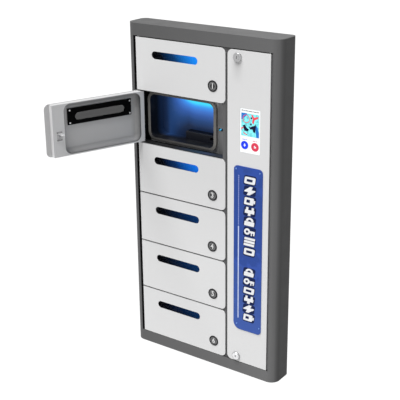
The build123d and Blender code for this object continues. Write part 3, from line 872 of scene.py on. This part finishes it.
sign_blue = surface("sign_blue", None, 0.35, cloud=60, grain=500, depth=0.00001,
                    Specular_IOR_Level=0.2)
sign_low, sign_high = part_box("sign_plate")
place = place_of(sign_blue)
x, y, z = axes(sign_blue, place)
feed(sign_blue, "Base Color",
     ramp(mottle(sign_blue, place, 45, 4, 0.14) + z.share(sign_low.z, sign_high.z),
          [(0.10, (0.036, 0.086, 0.335)), (1.0, (0.022, 0.067, 0.33)),
           (0.30, (0.030, 0.074, 0.29)), (0.40, (0.027, 0.075, 0.36)),
           (0.48, (0.017, 0.056, 0.27)), (0.66, (0.0185, 0.059, 0.29)),
           (0.88, (0.0175, 0.055, 0.26))]))
dress("sign_plate", sign_blue)

phone_sign = [bar(-0.5, -0.40, 0.5, 0.40, 0.14), bar(-0.29, -0.15, 0.25, 0.15, 0.03)]
battery_sign = [bar(-0.5, -0.42, 0.36, 0.42, 0.1), bar(-0.30, -0.18, 0.02, 0.18, 0.02),
                bar(0.37, -0.18, 0.5, 0.18)]
plug_sign = [[(-0.44, -0.22), (-0.12, -0.22), (-0.12, -0.5), (0.12, -0.5), (0.12, -0.22),
              (0.44, -0.22), (0.44, 0.18), (0.36, 0.18), (0.36, 0.5), (0.15, 0.5), (0.15, 0.18),
              (-0.15, 0.18), (-0.15, 0.5), (-0.36, 0.5), (-0.36, 0.18), (-0.44, 0.18)]]
half_turn = [step * math.pi / 12 for step in range(13)]
lock_sign = [bar(-0.46, -0.5, 0.46, 0.03, 0.08),
             [(-0.36 * math.cos(turn), 0.06 + 0.44 * math.sin(turn)) for turn in half_turn]
             + [(0.16 * math.cos(turn), 0.06 + 0.21 * math.sin(turn)) for turn in half_turn]]
stack_sign = [bar(-0.5, 0.22, 0.5, 0.5, 0.06), bar(-0.5, -0.14, 0.5, 0.14, 0.06),
              bar(-0.5, -0.5, 0.5, -0.22, 0.06)]
upper_row, upper_pitch, upper_height = sign_high.z - 0.0302, 0.02476, 0.0208
lower_row, lower_pitch, lower_height = sign_high.z - 0.2556, 0.02344, 0.0200
column = [(sign, upper_row - upper_pitch * row, upper_height) for row, sign in
          enumerate([phone_sign, bolt_sign, battery_sign, plug_sign, lock_sign, key_sign,
                     stack_sign, phone_sign])]
column += [(sign, lower_row - lower_pitch * row, lower_height) for row, sign in
           enumerate([lock_sign, key_sign, phone_sign, plug_sign, bolt_sign, battery_sign])]
signs = []
tiles = []
for sign, height, tall in column:
    where = (sign_low.x + 0.0430, height, 0.0286, tall, 0.10)
    signs += scaled(sign, *where)
    tiles += scaled([bar(-0.57, -0.57, 0.57, 0.57, 0.2)], *where)
printed("sign_tiles", tiles, sign_low.y, 0.00012, ink("sign_navy", (0.006, 0.014, 0.065)))
printed("sign_pictures", signs, sign_low.y, 0.00022, ink("sign_white", (0.74, 0.75, 0.77)))
line = sign_low.x + 0.0131
dash_pitch = 0.0045
printed("sign_line", [bar(line - 0.0014, sign_low.z + 0.0295, line + 0.0014, sign_high.z - 0.1453)],
        sign_low.y, 0.00012, ink("sign_pale", (0.50, 0.56, 0.76)))
printed("sign_dashes", [bar(line - 0.0011, sign_high.z - 0.0253 - dash_pitch * step,
                            line + 0.0011, sign_high.z - 0.0220 - dash_pitch * step)
                        for step in range(27)],
        sign_low.y, 0.00012, ink("sign_dim", (0.26, 0.31, 0.60)))
painted_screw = surface("painted_screw", (0.13, 0.26, 0.62), 0.4, spread=0.05, cloud=300)
sign_screw = screw(0.0019, 0.0010)
heads = [(sign_screw, at(x, sign_low.y, z))
         for x, z in ((sign_low.x + 0.0062, sign_high.z - 0.0078),
                      (sign_high.x - 0.0072, sign_high.z - 0.0085),
                      (sign_low.x + 0.0095, sign_low.z + 0.0140),
                      (sign_high.x - 0.0050, sign_low.z + 0.0172))]
piece("sign_screws", gather(heads), painted_screw, "service_door")


# Cam locks: two chromed barrels through the service door's plate, each with a key plug that
# turns. A cam behind the door is held on each plug by a screw.

chrome = surface("chrome", (0.42, 0.42, 0.425), 0.38, spread=0.05, cloud=120, grain=2600,
                 depth=0.000006, Metallic=1.0)
barrel_low, barrel_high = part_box("lock_barrels")
head_radius = 0.0105
barrel_x = (barrel_low.x + barrel_high.x) / 2
lock_heights = {"upper_lock": barrel_high.z - head_radius,
                "lower_lock": barrel_low.z + head_radius}
x, y, z = axes(chrome)
# Painted reflection: the lower lock's face is painted paler, less so at its centre.
out = distance(x - barrel_x, z - lock_heights["lower_lock"])
painted_lower_lock_reflection = (out < 0.0088) * (y < barrel_low.y + 0.0005)
shade(chrome, 1 + painted_lower_lock_reflection * out.between(0.1, 0.85, 0.0014, 0.0034))
dress("lock_barrels", chrome)
cam_screw = screw(0.0040, 0.0016)
for name, height in lock_heights.items():
    dress(f"{name}_cam", chrome)
    cam_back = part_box(f"{name}_cam")[1].y
    piece(f"{name}_cam_screw", gather([(cam_screw, at(barrel_x, cam_back, height, 180))]),
          screw_bright, name)


# Service bay: the power supply on the back plate, in a black steel case with vents and a row
# of screw terminals, and the rubber cable grommet in the cabinet's floor.

dress("power_supply", surface("supply_case", (0.022, 0.022, 0.023), 0.5, spread=0.1,
                              grain=1200, depth=0.00003))
dress("cable_grommet", surface("grommet_rubber", (0.012, 0.012, 0.012), 0.75, spread=0.2,
                               grain=1500, depth=0.00004))
low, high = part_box("power_supply")
middle = (low.x + high.x) / 2
vent_pitch = 0.008
vents = [bar(middle - 0.024, high.z - 0.030 - vent_pitch * row, middle + 0.024,
             high.z - 0.0265 - vent_pitch * row, 0.0017) for row in range(7)]
printed("supply_vents", vents, low.y, 0.0002, port_black, body="cabinet")
terminals = [(middle - 0.0245 + 0.0098 * step, low.z + 0.023) for step in range(6)]
block = flat([bar(middle - 0.030, low.z + 0.016, middle + 0.030, low.z + 0.030, 0.001)]
             + [circle(x, z, 0.0034, 16) for x, z in terminals], 0.009, 0.0005)
block.transform(Matrix.Translation((0, low.y, 0)))
piece("supply_terminals", block, surface("terminal_grey", (0.11, 0.11, 0.115), 0.45, spread=0.08),
      "cabinet")
terminal_screw = screw(0.0031, 0.004)
piece("supply_terminal_screws",
      gather([(terminal_screw, at(x, low.y, z)) for x, z in terminals]), screw_bright, "cabinet")


# Cabinet screws: bright steel pan heads that hold the casing's back flange to the back plate,
# five up each side and two along both the top and the floor.

flange_front = -0.003
cabinet_screw = screw(0.0032, 0.0020)
places = [(x, z) for x in (-0.1894, 0.1894) for z in (-0.32, -0.16, 0.0, 0.16, 0.32)]
places += [(x, z) for x in (-0.09, 0.09) for z in (-0.39, 0.39)]
piece("back_plate_screws", gather([(cabinet_screw, at(x, flange_front, z)) for x, z in places]),
      screw_bright, "cabinet")
